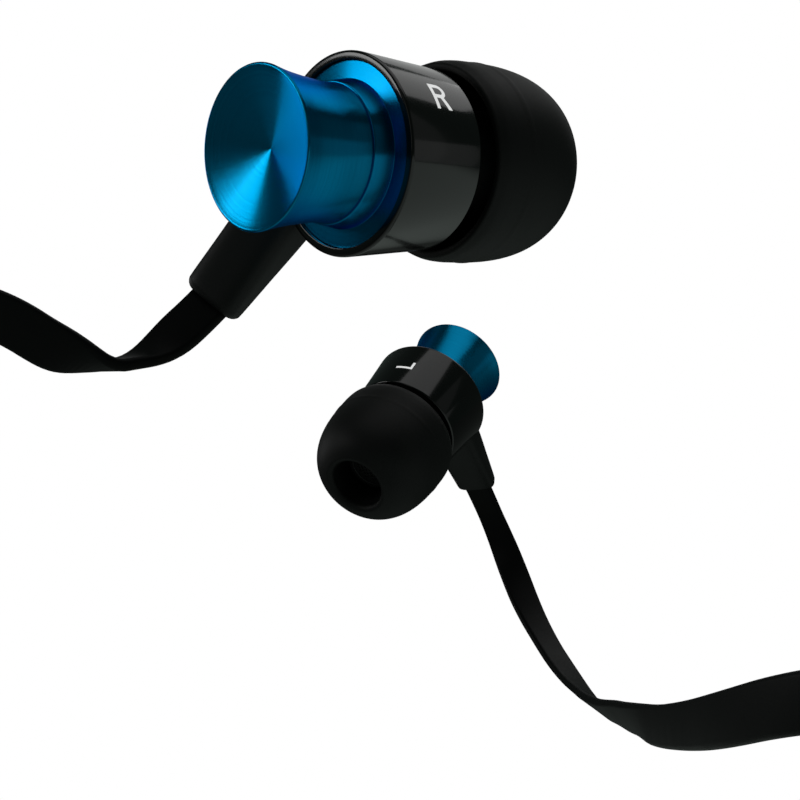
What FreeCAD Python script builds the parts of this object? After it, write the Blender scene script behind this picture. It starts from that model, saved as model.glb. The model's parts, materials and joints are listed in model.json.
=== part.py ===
"""Neckband earphones: two in-ear earbuds joined by flat ribbon cords through an in-line control module.

Millimetres. The set is held as worn by the right ear tip: the origin is the centre of that tip's
mouth, +Z is up, +X runs from the right-hand cord towards the left-hand cord, and the module lies
below on a surface. Each earbud is modelled about its own axis (local +Z from the turned cap to the
silicone tip, local +X towards the strain relief) and then placed by its yaw, pitch and roll.
"""
import FreeCAD, Part
import math
import os

V = FreeCAD.Vector

# ---- driving dimensions: earbud ------------------------------------------------------------------
HOUSING_R = 6.14            # outside radius at the rear rim
HOUSING_FRONT_R = 5.58      # outside radius at the front rim, so the shell tapers
HOUSING_L = 6.14
HOUSING_WALL = 0.85
RIM_ROUND = 0.45
DISC_T = 0.9                # flat anodised disc that closes the shell's rear
DISC_RECESS = 0.15          # the collar's foot lies this far inside the rim's flat
DISC_FALL = 0.12            # the disc's face slopes back this much from the collar to its edge
BOSS_R = 4.45                # raised collar on the disc, at its foot
BOSS_TOP_R = 4.25
BOSS_L = 1.35
STEM_END_R = 4.15
STEM_WAIST_R = 4.14
STEM_FLARE_R = 4.85
STEM_L = 5.4                # boss to flared face
DISH_DEPTH = 1.2            # depth of the spun cone in the flared face
SPIGOT_R = 1.6
SPIGOT_L = 1.6
PRESS_GAP = 0.02            # clearance of a glued or pressed seat
NECK_R = 4.7                # dark recess between shell and tip
NECK_L = 0.75
NOZZLE_R = 2.5
NOZZLE_BORE_R = 1.75
NOZZLE_REACH = 7.06         # nozzle mouth, from the shell's front
NOZZLE_LIP_L = 0.9
NOZZLE_GROOVE = 0.2
GRILLE_T = 0.15
GRILLE_HOLE_R = 0.16
DAMPER_L = 1.0

# ---- driving dimensions: silicone tip ------------------------------------------------------------
TIP_R = 6.25
TIP_SKIRT_R = 6.03
TIP_GAP = 1.09              # from the shell's front to the skirt's hem
TIP_WIDE_AT = 2.46          # from the shell's front to the widest ring
TIP_REACH = 10.26           # from the shell's front to the tip's mouth
TIP_MOUTH_R = 2.6
TIP_THROAT_R = 2.3          # the mouth tapers down to this at the nozzle's end
TIP_NOSE = 0.55             # rounding round the mouth
TIP_FULLNESS = 3.0          # how square-shouldered the dome is
TIP_SKIN = 0.5
TIP_CORE_WALL = 0.75
TIP_SLIDE_GAP = 0.06        # running clearance of the tip's core on the nozzle
MARK_SCALE = 0.78           # of the printed side letters

# ---- driving dimensions: driver ------------------------------------------------------------------
DRIVER_R = 4.6
BASKET_T = 0.35
MAGNET_R = 2.6
MAGNET_T = 1.1
PLATE_R = 2.5
PLATE_T = 0.4
COIL_FORM_R = 2.95
COIL_FORM_T = 0.15
COIL_FORM_L = 1.0
DOME_H = 0.55
DOME_T = 0.06
BOARD_R = 3.2
BOARD_T = 0.4

# ---- driving dimensions: strain relief and ribbon ------------------------------------------------
RELIEF_Z0 = 0.1
RELIEF_Z1 = 3.0
RELIEF_HALF_W = 2.6         # half breadth where it leaves the shell
RELIEF_ROLL = 33.0          # its seat is turned this far round the shell from its mouth, degrees
RELIEF_MOUTH_Z = -2.9
RELIEF_MOUTH_R = 12.75
RELIEF_MOUTH_SIDE = -0.4
RELIEF_MOUTH_HALF_W = 2.0
RELIEF_MOUTH_HALF_T = 0.95
RELIEF_MOUTH_TWIST = -11.0  # degrees about the boot's own line
RIBBON_W = 3.0
RIBBON_T = 0.8

# ---- driving dimensions: module ------------------------------------------------------------------
MODULE_L = 38.0
MODULE_W = 11.0
MODULE_H = 6.6
MODULE_WALL = 1.0
MODULE_ROUND = 2.6
MODULE_SPLIT = 3.4          # height of the parting line
BUTTON_W = 4.6
BUTTON_L = 6.0
BUTTON_PITCH = 8.4
BUTTON_GAP = 0.15
BUTTON_PROUD = 0.35
BUTTON_TRAVEL = 0.3
BUTTON_FLANGE = 0.45
SHEET_T = 0.3
PCB_T = 0.8
BATTERY_T = 1.5
BATTERY_L = 18.0
SOCKET_W = 7.0
SOCKET_H = 1.9
SOCKET_DEPTH = 4.0
SCREW_R = 0.7
SCREW_HEAD_R = 1.2
GROMMET_L = 3.2

# ---- placement -----------------------------------------------------------------------------------
FLOOR_Z = -63.0
RIGHT_CENTRE = V(-12.09, -11.04, -0.43)
RIGHT_ANGLES = (42.4, 1.5, 49.9)
LEFT_CENTRE = V(-5.57, 76.38, -14.68)
LEFT_ANGLES = (-122.3, -31.8, 3.0)
MODULE_CENTRE = V(-16.0, 32.0, FLOOR_Z)
COIL_CENTRE = V(2.0, -8.0, FLOOR_Z)
COIL_R = 16.0
COIL_LIFT = 0.5
COIL_TURNS = 2
COIL_THICK = 2.2
TIE_T = 0.5
TIE_W = 4.0

# ---- derived values ------------------------------------------------------------------------------
DISC_R = HOUSING_R - 0.55
DISC_FACE_Z = DISC_RECESS
DISC_BACK_Z = DISC_FACE_Z + DISC_T
BOSS_END_Z = DISC_FACE_Z - BOSS_L
STEM_FACE_Z = BOSS_END_Z - STEM_L
CAVITY_R = HOUSING_FRONT_R - HOUSING_WALL
BAFFLE_R = CAVITY_R - PRESS_GAP
BAFFLE_REAR_Z = HOUSING_L - 1.14
NECK_END_Z = HOUSING_L + NECK_L
NOZZLE_END = HOUSING_L + NOZZLE_REACH
TIP_REAR = HOUSING_L + TIP_GAP
TIP_WIDEST = HOUSING_L + TIP_WIDE_AT
TIP_FRONT = HOUSING_L + TIP_REACH
TIP_CORE_R = NOZZLE_R + TIP_SLIDE_GAP
TIP_CORE_END_Z = NOZZLE_END + 0.4
BOARD_Z = BOSS_END_Z + BOSS_L + SPIGOT_L + 0.15
BASKET_Z = BOARD_Z + BOARD_T
MAGNET_Z = BASKET_Z + BASKET_T
PLATE_Z = MAGNET_Z + MAGNET_T
DOME_Z = BAFFLE_REAR_Z - 0.25
CORD_EXIT_Z = MODULE_H / 2
COIL_H = COIL_TURNS * (RIBBON_W + 0.1)


# ---- general helpers -----------------------------------------------------------------------------
def turned(*points):
    """Solid turned about local Z from (radius, z) corners."""
    outline = Part.makePolygon([V(r, 0, z) for r, z in points + points[:1]])
    return Part.Face(outline).revolve(V(0, 0, 0), V(0, 0, 1), 360)


def turned_edges(edges):
    """Solid turned about local Z from a closed chain of edges in the XZ plane."""
    return Part.Face(Part.Wire(edges)).revolve(V(0, 0, 0), V(0, 0, 1), 360)


def ring(outer, inner, z, length):
    return turned((inner, z), (outer, z), (outer, z + length), (inner, z + length))


def disc(radius, z, length):
    return Part.makeCylinder(radius, length, V(0, 0, z), V(0, 0, 1))


def line(r0, z0, r1, z1):
    return Part.LineSegment(V(r0, 0, z0), V(r1, 0, z1)).toShape()


def curve(*points):
    """Smooth edge through (radius, z) points."""
    spline = Part.BSplineCurve()
    spline.interpolate([V(r, 0, z) for r, z in points])
    return spline.toShape()


def round_box(length, width, height, corner):
    """Box on z = 0, centred in X and Y, with upright edges rounded."""
    box = Part.makeBox(length, width, height, V(-length / 2, -width / 2, 0))
    upright = [e for e in box.Edges if abs(e.Vertexes[0].Z - e.Vertexes[1].Z) > height / 2]
    return box.makeFillet(corner, upright)


def rounded_wire(centre, along, across, half_a, half_b, corner):
    """Rounded rectangle, half_a along the first direction and half_b along the second."""
    edges = []
    corners = [(1, 1), (-1, 1), (-1, -1), (1, -1)]
    ends = []
    for index, (sa, sb) in enumerate(corners):
        mid = centre + along * (sa * (half_a - corner)) + across * (sb * (half_b - corner))
        out_a = mid + along * (sa * corner)
        out_b = mid + across * (sb * corner)
        bulge = mid + (along * sa + across * sb) * (corner / math.sqrt(2))
        pair = (out_a, out_b) if index % 2 == 0 else (out_b, out_a)
        edges.append(Part.Arc(pair[0], bulge, pair[1]).toShape())
        ends.append(pair)
    chain = []
    for index, arc in enumerate(edges):
        chain.append(arc)
        following = ends[(index + 1) % 4][0]
        chain.append(Part.LineSegment(ends[index][1], following).toShape())
    return Part.Wire(chain)


def earbud_axes(yaw, pitch, roll):
    """Unit vectors (towards the relief, across it, along the axis); roll is measured from straight down."""
    yaw, pitch, roll = (math.radians(angle) for angle in (yaw, pitch, roll))
    axis = V(math.cos(pitch) * math.cos(yaw), math.cos(pitch) * math.sin(yaw), math.sin(pitch))
    down = V(0, 0, -1)
    hang = down - axis * down.dot(axis)
    hang.normalize()
    relief = hang * math.cos(roll) + axis.cross(hang) * math.sin(roll)
    return relief, axis.cross(relief), axis


def placement(centre, angles):
    x, y, z = earbud_axes(*angles)
    return FreeCAD.Placement(FreeCAD.Matrix(
        x.x, y.x, z.x, centre.x,
        x.y, y.y, z.y, centre.y,
        x.z, y.z, z.z, centre.z,
        0, 0, 0, 1))


# ---- earbud pieces, about local Z ----------------------------------------------------------------
def flared_stem():
    """Turned aluminium trumpet with a spun conical face and a spigot that seats in the disc."""
    z0 = BOSS_END_Z
    z1 = STEM_FACE_Z
    flank = curve((STEM_END_R, z0), (STEM_WAIST_R, z0 - 0.2 * STEM_L),
                  (STEM_WAIST_R + 0.15, z0 - 0.45 * STEM_L), (STEM_WAIST_R + 0.41, z0 - 0.75 * STEM_L),
                  (STEM_FLARE_R, z1 + 0.12))
    spigot_end = z0 + BOSS_L + SPIGOT_L
    return turned_edges([
        flank,
        line(STEM_FLARE_R, z1 + 0.12, STEM_FLARE_R - 0.12, z1),
        line(STEM_FLARE_R - 0.12, z1, 0, z1 + DISH_DEPTH),
        line(0, z1 + DISH_DEPTH, 0, spigot_end),
        line(0, spigot_end, SPIGOT_R, spigot_end),
        line(SPIGOT_R, spigot_end, SPIGOT_R, z0),
        line(SPIGOT_R, z0, STEM_END_R, z0)])


def back_disc():
    """Anodised disc with a raised boss; the stem's spigot passes through it."""
    bore = SPIGOT_R + PRESS_GAP
    return turned((bore, BOSS_END_Z), (BOSS_TOP_R - 0.1, BOSS_END_Z), (BOSS_TOP_R, BOSS_END_Z + 0.1),
                  (BOSS_R, DISC_FACE_Z), (DISC_R - PRESS_GAP, DISC_FACE_Z + DISC_FALL),
                  (DISC_R - PRESS_GAP, DISC_BACK_Z), (bore, DISC_BACK_Z))


def housing_outline(z):
    return HOUSING_R + (HOUSING_FRONT_R - HOUSING_R) * z / HOUSING_L


def housing_blank(extra=0.0):
    """The shell's outer form as a solid cone, grown by extra."""
    return turned((0, 0), (HOUSING_R + extra, 0), (HOUSING_FRONT_R + extra, HOUSING_L), (0, HOUSING_L))


def housing():
    """Tapered glossy shell with a rounded rear rim and a ledge for the disc."""
    rim = RIM_ROUND
    bend = rim * (1 - math.sqrt(0.5))
    shoulder = V(housing_outline(rim), 0, rim)
    crown = V(HOUSING_R - rim, 0, 0)
    rounding = Part.Arc(crown, V(HOUSING_R - bend, 0, bend), shoulder).toShape()
    front = HOUSING_FRONT_R
    return turned_edges([
        rounding,
        line(shoulder.x, shoulder.z, front, HOUSING_L - 0.15),
        line(front, HOUSING_L - 0.15, front - 0.15, HOUSING_L),
        line(front - 0.15, HOUSING_L, CAVITY_R, HOUSING_L),
        line(CAVITY_R, HOUSING_L, CAVITY_R, DISC_BACK_Z),
        line(CAVITY_R, DISC_BACK_Z, DISC_R, DISC_BACK_Z),
        line(DISC_R, DISC_BACK_Z, DISC_R, 0),
        line(DISC_R, 0, crown.x, 0)])


def front_baffle():
    """Front plug, neck and sound nozzle in one moulding, with a groove behind the nozzle's lip."""
    lip = NOZZLE_END - NOZZLE_LIP_L
    groove_r = NOZZLE_R - NOZZLE_GROOVE
    chamber_r = BAFFLE_R - 0.6
    return turned((NOZZLE_BORE_R, BAFFLE_REAR_Z + 0.9), (chamber_r, BAFFLE_REAR_Z + 0.5),
                  (chamber_r, BAFFLE_REAR_Z), (BAFFLE_R, BAFFLE_REAR_Z), (BAFFLE_R, HOUSING_L),
                  (NECK_R - 0.3, HOUSING_L), (NECK_R - 0.3, NECK_END_Z), (NOZZLE_R, NECK_END_Z),
                  (NOZZLE_R, NECK_END_Z + 0.8), (groove_r, NECK_END_Z + 1.0), (groove_r, lip - 0.2),
                  (NOZZLE_R, lip), (NOZZLE_R, NOZZLE_END - 0.2), (NOZZLE_R - 0.2, NOZZLE_END),
                  (NOZZLE_BORE_R + 0.2, NOZZLE_END), (NOZZLE_BORE_R + 0.2, NOZZLE_END - GRILLE_T - 0.1),
                  (NOZZLE_BORE_R, NOZZLE_END - GRILLE_T - 0.1))


def nozzle_grille():
    """Perforated steel disc seated in the nozzle's mouth."""
    plate = disc(NOZZLE_BORE_R + 0.2 - PRESS_GAP, NOZZLE_END - GRILLE_T - 0.1, GRILLE_T)
    holes = []
    for row, count in ((1, 6), (2, 12)):
        for index in range(count):
            angle = 2 * math.pi * index / count
            spot = V(row * 0.6 * math.cos(angle), row * 0.6 * math.sin(angle), NOZZLE_END - 1)
            holes.append(Part.makeCylinder(GRILLE_HOLE_R, 2, spot, V(0, 0, 1)))
    holes.append(disc(GRILLE_HOLE_R, NOZZLE_END - 1, 2))
    return plate.cut(holes)


def nozzle_damper():
    z = NOZZLE_END - GRILLE_T - 0.1 - DAMPER_L
    return disc(NOZZLE_BORE_R - PRESS_GAP, z, DAMPER_L)


def driver_board():
    """Small round board behind the driver, clear of the stem's spigot."""
    return disc(BOARD_R, BOARD_Z, BOARD_T)


def driver_basket():
    """Cup that carries the magnet system, with a ledge for the diaphragm's edge."""
    top = BAFFLE_REAR_Z - PRESS_GAP
    return turned((0, BASKET_Z), (DRIVER_R, BASKET_Z), (DRIVER_R, top), (DRIVER_R - 0.15, top),
                  (DRIVER_R - 0.15, DOME_Z), (DRIVER_R - BASKET_T - 0.25, DOME_Z),
                  (DRIVER_R - BASKET_T - 0.25, MAGNET_Z), (0, MAGNET_Z))


def driver_magnet():
    return disc(MAGNET_R, MAGNET_Z, PLATE_Z - MAGNET_Z)


def pole_plate():
    return disc(PLATE_R, PLATE_Z, PLATE_T)


def voice_coil():
    return ring(COIL_FORM_R + COIL_FORM_T, COIL_FORM_R, DOME_Z - COIL_FORM_L, COIL_FORM_L)


def diaphragm():
    """Thin dome with a flat edge that rests on the basket's ledge and the voice coil."""
    edge_r = DRIVER_R - 0.15 - PRESS_GAP
    rise = DOME_H - DOME_T
    return turned((0, DOME_Z + rise), (COIL_FORM_R * 0.6, DOME_Z + rise * 0.7), (COIL_FORM_R, DOME_Z),
                  (edge_r, DOME_Z), (edge_r, DOME_Z + DOME_T), (COIL_FORM_R, DOME_Z + DOME_T),
                  (COIL_FORM_R * 0.6, DOME_Z + rise * 0.7 + DOME_T), (0, DOME_Z + DOME_H))


def dome_point(share, skin=0.0):
    """Point on the tip's dome at a share of its height past the widest ring."""
    fullness = (1 - share ** TIP_FULLNESS) ** (1 / TIP_FULLNESS)
    nose_share = (1 - ((TIP_MOUTH_R + TIP_NOSE) / TIP_R) ** TIP_FULLNESS) ** (1 / TIP_FULLNESS)
    height = (TIP_FRONT - TIP_WIDEST) / nose_share
    return (TIP_R * fullness - skin, TIP_WIDEST + height * share)


def eartip():
    """Silicone mushroom: a domed skirt folded back from the mouth of a straight core."""
    nose_r = TIP_MOUTH_R + TIP_NOSE
    outer = curve((TIP_SKIRT_R, TIP_REAR), (TIP_R, TIP_WIDEST),
                  *[dome_point(share) for share in (0.4, 0.65, 0.82, 0.93)], (nose_r, TIP_FRONT))
    lip = Part.Arc(V(nose_r, 0, TIP_FRONT), V(TIP_MOUTH_R + 0.12, 0, TIP_FRONT - 0.18),
                   V(TIP_MOUTH_R, 0, TIP_FRONT - 0.6)).toShape()
    core_r = TIP_CORE_R + TIP_CORE_WALL
    fold_z = TIP_FRONT - 2.6
    inner = curve((core_r, fold_z - 0.9), (core_r + 0.5, fold_z - 0.1), (core_r + 1.3, fold_z - 0.7),
                  dome_point(0.35, TIP_SKIN + 0.1), (TIP_R - TIP_SKIN, TIP_WIDEST),
                  (TIP_SKIRT_R - TIP_SKIN, TIP_REAR))
    rear = NECK_END_Z + 0.12
    return turned_edges([
        outer, lip,
        line(TIP_MOUTH_R, TIP_FRONT - 0.6, TIP_THROAT_R, TIP_CORE_END_Z),
        line(TIP_THROAT_R, TIP_CORE_END_Z, TIP_CORE_R, TIP_CORE_END_Z),
        line(TIP_CORE_R, TIP_CORE_END_Z, TIP_CORE_R, rear),
        line(TIP_CORE_R, rear, core_r, rear),
        line(core_r, rear, core_r, fold_z - 0.9),
        inner,
        line(TIP_SKIRT_R - TIP_SKIN, TIP_REAR, TIP_SKIRT_R, TIP_REAR)])


def relief_seat():
    """Point on the shell's axis side where the relief starts, and its direction, in local terms."""
    roll = math.radians(RELIEF_ROLL)
    outward = V(math.cos(roll), math.sin(roll), 0)
    across = V(-math.sin(roll), math.cos(roll), 0)
    mid_z = (RELIEF_Z0 + RELIEF_Z1) / 2
    return outward * (HOUSING_FRONT_R - HOUSING_WALL) + V(0, 0, mid_z), across


def relief_mouth():
    return V(RELIEF_MOUTH_R, RELIEF_MOUTH_SIDE, RELIEF_MOUTH_Z)


def strain_relief():
    """Tapered rubber boot: wide on the shell's side wall, narrow and leaning back at its mouth."""
    seat, seat_across = relief_seat()
    mouth = relief_mouth()
    lean = mouth - seat
    lean.normalize()
    across = V(0, 1, 0) - lean * lean.dot(V(0, 1, 0))
    across.normalize()
    across = FreeCAD.Rotation(lean, RELIEF_MOUTH_TWIST).multVec(across)
    thick = lean.cross(across)
    half_z = (RELIEF_Z1 - RELIEF_Z0) / 2
    root = rounded_wire(seat, seat_across, V(0, 0, 1), RELIEF_HALF_W, half_z, 0.8)
    end = rounded_wire(mouth, across, thick, RELIEF_MOUTH_HALF_W, RELIEF_MOUTH_HALF_T, 0.8)
    boot = Part.makeLoft([root, end], True, True)
    return boot.cut(housing_blank())


def letter_r():
    """Strokes of a plain capital R, 2.3 high before MARK_SCALE, centred on the origin."""
    stem = Part.makeBox(0.3, 2.3, 1, V(-0.75, -1.15, 0))
    bowl = Part.makeCylinder(0.65, 1, V(0.1, 0.5, 0)).cut(Part.makeCylinder(0.35, 1, V(0.1, 0.5, 0)))
    bowl = bowl.common(Part.makeBox(1, 1.3, 1, V(0.1, -0.15, 0)))
    top = Part.makeBox(0.85, 0.3, 1, V(-0.75, 0.85, 0))
    middle = Part.makeBox(0.85, 0.3, 1, V(-0.75, -0.15, 0))
    leg = Part.Face(Part.makePolygon([V(-0.05, 0, 0), V(0.3, 0, 0), V(0.85, -1.15, 0),
                                      V(0.5, -1.15, 0), V(-0.05, 0, 0)])).extrude(V(0, 0, 1))
    return stem.fuse([bowl, top, middle, leg]).removeSplitter()


def letter_l():
    """Strokes of a plain capital L of the same height."""
    stem = Part.makeBox(0.3, 2.3, 1, V(-0.65, -1.15, 0))
    return stem.fuse(Part.makeBox(1.3, 0.3, 1, V(-0.65, -1.15, 0))).removeSplitter()


def side_mark(letter, reading, angle, depth=0.03):
    """Printed letter wrapped on the shell, as thin as ink."""
    turn = math.radians(angle)
    outward = V(math.cos(turn), math.sin(turn), 0)
    right = V(0, 0, reading)
    up = outward.cross(right)
    base = outward * (HOUSING_FRONT_R - 0.4) + V(0, 0, HOUSING_L / 2 + 0.25)
    letter.scale(MARK_SCALE)
    letter.Placement = FreeCAD.Placement(FreeCAD.Matrix(
        right.x, up.x, outward.x, base.x,
        right.y, up.y, outward.y, base.y,
        right.z, up.z, outward.z, base.z,
        0, 0, 0, 1))
    return letter.common(housing_blank(depth)).cut(housing_blank())


# ---- ribbon cords --------------------------------------------------------------------------------
def ribbon_section(point, tangent, breadth):
    """Flat section with rounded edges, square to the tangent."""
    across = breadth - tangent * breadth.dot(tangent)
    across.normalize()
    return rounded_wire(point, across, tangent.cross(across), RIBBON_W / 2, RIBBON_T / 2, RIBBON_T * 0.4)


def ribbon(points, breadth, name):
    """Flat cord along straight runs joined by tangent arcs; prints its length and tightest arc."""
    here = points[0]
    heading = (points[1] - points[0]).normalize()
    wire = ribbon_section(here, heading, breadth)
    faces = [Part.Face(wire)]
    length = 0.0
    radii = []
    for index in range(1, len(points) - 1):
        before = points[index] - points[index - 1]
        after = points[index + 1] - points[index]
        turn = before.getAngle(after)
        shorter = min(before.Length, after.Length)
        setback = 0.45 * shorter
        radius = setback / math.tan(turn / 2)
        start = points[index] - before.normalize() * setback
        run = start - here
        skin = wire.extrude(run)
        faces += skin.Faces
        wire.translate(run)
        length += run.Length
        bend = before.cross(after).normalize()
        centre = start + bend.cross(before) * radius
        skin = wire.revolve(centre, bend, math.degrees(turn))
        faces += skin.Faces
        wire.rotate(centre, bend, math.degrees(turn))
        length += radius * turn
        here = points[index] + after.normalize() * setback
        radii.append(radius)
    run = points[-1] - here
    faces += wire.extrude(run).Faces
    wire.translate(run)
    length += run.Length
    faces.append(Part.Face(wire))
    shell = Part.makeShell(faces)
    shell.sewShape()
    solid = Part.makeSolid(shell)
    if solid.Volume < 0:
        solid.reverse()
    area = Part.Face(wire).Area
    print(name, "length %.1f" % length, "radii", " ".join("%.1f" % r for r in radii),
          "volume ratio %.3f" % (solid.Volume / (area * length)))
    return solid


def left_coil():
    """Put-away length: two turns on edge, one above the other."""
    return ring(COIL_R + COIL_THICK / 2, COIL_R - COIL_THICK / 2, 0, COIL_H)


def coil_tie():
    """Soft strap wrapped round the coil's turns."""
    inner = Part.makeBox(COIL_THICK, TIE_W, COIL_H, V(-COIL_R - COIL_THICK / 2, -TIE_W / 2, 0))
    outer = Part.makeBox(COIL_THICK + 2 * TIE_T, TIE_W, COIL_H + 2 * TIE_T,
                         V(-COIL_R - COIL_THICK / 2 - TIE_T, -TIE_W / 2, -TIE_T))
    return outer.cut(inner).cut(left_coil())


# ---- module pieces, on z = 0, long way in X ------------------------------------------------------
def module_blank(shrink=0.0):
    """Pill-ended bar with softened top and bottom edges, shrunk on every side."""
    body = round_box(MODULE_L - 2 * shrink, MODULE_W - 2 * shrink, MODULE_H - 2 * shrink,
                     MODULE_W / 2 - shrink - 0.3)
    level = [e for e in body.Edges if abs(e.BoundBox.ZLength) < 0.001]
    body = body.makeFillet(max(MODULE_ROUND - shrink, 0.3) * 0.6, level)
    body.translate(V(0, 0, shrink))
    return body


def button_spots():
    return [V(index * BUTTON_PITCH, 0, 0) for index in (-1, 0, 1)]


def module_base():
    """Lower half shell with the socket's opening in its side."""
    lower = Part.makeBox(80, 40, MODULE_SPLIT, V(-40, -20, 0))
    shell = module_blank().common(lower).cut(module_blank(MODULE_WALL))
    side = Part.makeBox(SOCKET_W + 0.2, 4, SOCKET_H + 0.2,
                        V(-SOCKET_W / 2 - 0.1, -MODULE_W / 2 - 1, MODULE_SPLIT - SOCKET_H - 0.4))
    return shell.cut([side] + cord_ports() + screw_holes())


def module_cover():
    """Upper half shell with three button windows and a microphone seat."""
    upper = Part.makeBox(80, 40, 40, V(-40, -20, MODULE_SPLIT))
    shell = module_blank().common(upper).cut(module_blank(MODULE_WALL))
    windows = []
    for spot in button_spots():
        window = round_box(BUTTON_L + 2 * BUTTON_GAP, BUTTON_W + 2 * BUTTON_GAP, 5, 1.2)
        window.translate(spot + V(0, 0, MODULE_SPLIT + 0.5))
        windows.append(window)
    seats = [Part.makeCylinder(0.8, 9, V(15.2, 0, MODULE_SPLIT)),
             Part.makeCylinder(0.5, 9, V(-15.2, 0, MODULE_SPLIT))]
    return shell.cut(windows + seats + cord_ports())


def cord_ports():
    """Round-ended holes at both ends for the grommets."""
    ports = []
    for side in (-1, 1):
        port = Part.makeBox(4, RIBBON_W + 1.2, 2.2, V(-2, -RIBBON_W / 2 - 0.6, CORD_EXIT_Z - 1.1))
        port.translate(V(side * MODULE_L / 2, 0, 0))
        ports.append(port)
    return ports


def screw_spots():
    return [V(-11.5, 0, 0), V(11.5, 0, 0)]


def screw_holes():
    holes = []
    for spot in screw_spots():
        holes.append(Part.makeCylinder(SCREW_R + PRESS_GAP, 3, spot))
        holes.append(Part.makeCylinder(SCREW_HEAD_R + PRESS_GAP, 0.5, spot))
    return holes


def module_screw(spot):
    """Pan screw flush in the base."""
    head = Part.makeCylinder(SCREW_HEAD_R, 0.45, V(0, 0, 0.05))
    slot = Part.makeBox(1.6, 0.3, 0.25, V(-0.8, -0.15, 0))
    shank = Part.makeCylinder(SCREW_R, MODULE_WALL + 0.3 - 0.45, V(0, 0, 0.5))
    screw = head.fuse(shank).cut(slot).removeSplitter()
    screw.translate(spot)
    return screw


def button(spot):
    """Soft-edged key with a flange that keeps it under the cover."""
    inside_top = MODULE_H - MODULE_WALL
    flange_z = inside_top - BUTTON_FLANGE - 0.05
    cap = round_box(BUTTON_L, BUTTON_W, MODULE_H + BUTTON_PROUD - flange_z, 1.1)
    rim = [e for e in cap.Edges if e.BoundBox.ZMin > MODULE_H + BUTTON_PROUD - flange_z - 0.01]
    cap = cap.makeFillet(0.25, rim)
    flange = round_box(BUTTON_L + 1.2, BUTTON_W + 1.2, BUTTON_FLANGE, 1.4)
    key = cap.fuse(flange).removeSplitter()
    key.translate(spot + V(0, 0, flange_z))
    return key


def button_sheet():
    """Silicone sheet under the keys, on the board."""
    sheet = round_box(3 * BUTTON_PITCH, BUTTON_W + 1.6, SHEET_T, 1.0)
    sheet.translate(V(0, 0, pcb_z() + PCB_T))
    return sheet


def pcb_z():
    travel_room = BUTTON_TRAVEL + 0.12
    return MODULE_H - MODULE_WALL - BUTTON_FLANGE - 0.05 - travel_room - SHEET_T - PCB_T


def circuit_board():
    board = round_box(MODULE_L - 2 * MODULE_WALL - 5.0, MODULE_W - 2 * MODULE_WALL - 1.0, PCB_T, 2.0)
    board.translate(V(0, 0, pcb_z()))
    return board


def charge_socket():
    """Metal-shelled receptacle open to the module's side."""
    y0 = -MODULE_W / 2 + 0.45
    z0 = MODULE_SPLIT - SOCKET_H - 0.3
    shell = Part.makeBox(SOCKET_W, SOCKET_DEPTH, SOCKET_H, V(-SOCKET_W / 2, y0, z0))
    mouth = Part.makeBox(SOCKET_W - 0.5, SOCKET_DEPTH - 0.4, SOCKET_H - 0.5,
                         V(-SOCKET_W / 2 + 0.25, y0, z0 + 0.25))
    tongue = Part.makeBox(SOCKET_W - 2.4, SOCKET_DEPTH - 1.2, 0.4,
                          V(-SOCKET_W / 2 + 1.2, y0 + 0.8, z0 + SOCKET_H / 2 - 0.2))
    return shell.cut(mouth).fuse(tongue).removeSplitter()


def socket_cover():
    """Rubber flap whose lower edge is a round bead, on the line it hinges about."""
    half_t = 0.25
    hinge_z = MODULE_SPLIT - SOCKET_H - 0.25
    length = SOCKET_W - 0.2
    corner = V(-length / 2, -MODULE_W / 2 - 0.6, hinge_z)
    flap = Part.makeBox(length, 2 * half_t, SOCKET_H - 0.1, corner)
    bead = Part.makeCylinder(half_t, length, corner + V(0, half_t, 0), V(1, 0, 0))
    return flap.fuse(bead).removeSplitter()


def battery_cell():
    z0 = MODULE_WALL + 0.06
    room = pcb_z() - 0.06 - z0
    y0 = -MODULE_W / 2 + 0.45 + SOCKET_DEPTH + 0.2
    width = MODULE_W / 2 - MODULE_WALL - 0.9 - y0
    return Part.makeBox(BATTERY_L, width, min(BATTERY_T, room), V(-BATTERY_L / 2, y0, z0))


def microphone_grille():
    z0 = MODULE_H - 0.6
    return Part.makeCylinder(0.8 - PRESS_GAP, 0.5, V(15.2, 0, z0))


def light_pipe():
    z0 = MODULE_H - 0.9
    return Part.makeCylinder(0.5 - PRESS_GAP, 0.8, V(-15.2, 0, z0))


def module_grommet(side):
    """Tapered rubber exit for the ribbon at one end of the module."""
    x0 = side * (MODULE_L / 2 - MODULE_WALL)
    x1 = side * (MODULE_L / 2 + GROMMET_L)
    root = rounded_wire(V(x0, 0, CORD_EXIT_Z), V(0, 1, 0), V(0, 0, 1), RIBBON_W / 2 + 0.58, 1.08, 0.4)
    step = rounded_wire(V(x1, 0, CORD_EXIT_Z), V(0, 1, 0), V(0, 0, 1), RIBBON_W / 2 + 0.2, 0.7, 0.4)
    return Part.makeLoft([root, step], True, True)


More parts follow.
